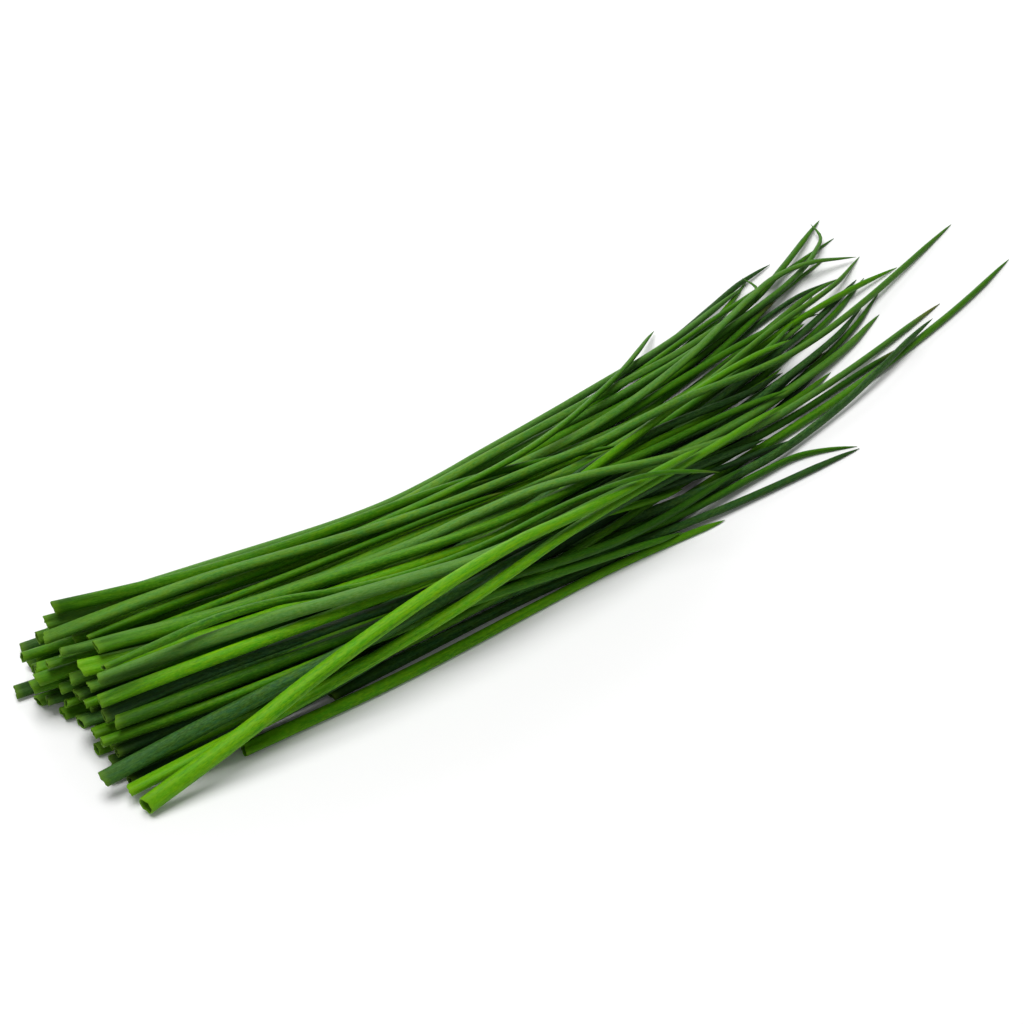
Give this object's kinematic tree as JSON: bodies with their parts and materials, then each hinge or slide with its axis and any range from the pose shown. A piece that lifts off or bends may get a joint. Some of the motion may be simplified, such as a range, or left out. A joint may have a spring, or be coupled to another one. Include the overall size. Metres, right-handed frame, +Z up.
{
  "type": "chive bunch",
  "caption": "Loose bunch of cut chive leaves lying in a pile, cut ends level and thin tips fanned out.",
  "frame": {"origin": "on the surface the bunch lies on, under the middle of its outline", "axes": "+X along the leaves from their cut ends to their tips, +Z up from the surface, +Y towards the side that the tips bend to"},
  "size_m": [0.2492, 0.0878, 0.0215],
  "materials": {
    "leaf_bright": "waxy, half matte",
    "leaf_mid": "waxy, half matte",
    "leaf_pale": "waxy with a pale bloom",
    "leaf_dark": "waxy with a bluish bloom"
  },
  "bodies": {
    "root": {"stray_leaf_in_front": "leaf_bright", "short_cut_leaf_in_front": "leaf_dark", "front_low_leaf_straight": "leaf_dark", "front_low_leaf_hooked": "leaf_mid", "far_reaching_leaf": "leaf_mid", "far_low_leaf": "leaf_dark", "protruding_floor_leaf": "leaf_dark", "floor_row_leaf_1": "leaf_bright", "floor_row_leaf_2": "leaf_mid", "floor_row_leaf_3": "leaf_mid", "floor_row_leaf_4": "leaf_mid", "floor_row_leaf_5": "leaf_bright", "floor_row_leaf_6": "leaf_dark", "second_row_leaf_1": "leaf_dark", "second_row_leaf_2": "leaf_mid", "second_row_leaf_3": "leaf_dark", "second_row_leaf_4": "leaf_dark", "second_row_leaf_5": "leaf_dark", "second_row_leaf_6": "leaf_mid", "second_row_leaf_7": "leaf_mid", "second_row_leaf_8": "leaf_dark", "second_row_leaf_9": "leaf_mid", "third_row_leaf_1": "leaf_dark", "third_row_leaf_2": "leaf_dark", "third_row_leaf_3": "leaf_pale", "third_row_leaf_4": "leaf_mid", "third_row_leaf_5": "leaf_mid", "third_row_leaf_6": "leaf_pale", "third_row_leaf_7": "leaf_mid", "fourth_row_leaf_1": "leaf_bright", "fourth_row_leaf_2": "leaf_bright", "fourth_row_leaf_3": "leaf_dark", "fourth_row_leaf_4": "leaf_pale", "fourth_row_leaf_5": "leaf_bright", "fourth_row_leaf_6": "leaf_mid", "fifth_row_leaf_1": "leaf_pale", "fifth_row_leaf_2": "leaf_pale", "fifth_row_leaf_3": "leaf_mid", "front_slope_leaf_low": "leaf_mid", "front_slope_leaf_middle": "leaf_mid", "front_slope_leaf_dark": "leaf_dark", "back_leaf_far_tip": "leaf_mid", "back_leaf_bent_tip": "leaf_mid", "back_leaf_turned_tip": "leaf_pale", "back_top_leaf_edge": "leaf_mid", "back_top_leaf_low": "leaf_pale", "front_slope_leaf_bright": "leaf_bright", "back_top_leaf_short": "leaf_mid", "wide_grey_green_leaf": "leaf_pale", "wide_bright_leaf": "leaf_bright", "top_leaf_thin_tip": "leaf_mid", "back_leaf_lifted_tip": "leaf_mid", "long_top_leaf": "leaf_pale", "top_leaf_cut_short": "leaf_mid", "ridge_leaf_front": "leaf_mid", "ridge_leaf_pale": "leaf_pale", "crossing_leaf_dark": "leaf_dark", "diagonal_leaf_long": "leaf_bright", "diagonal_leaf_bright": "leaf_bright", "curled_tip_leaf": "leaf_mid"}
  },
  "joints": []
}
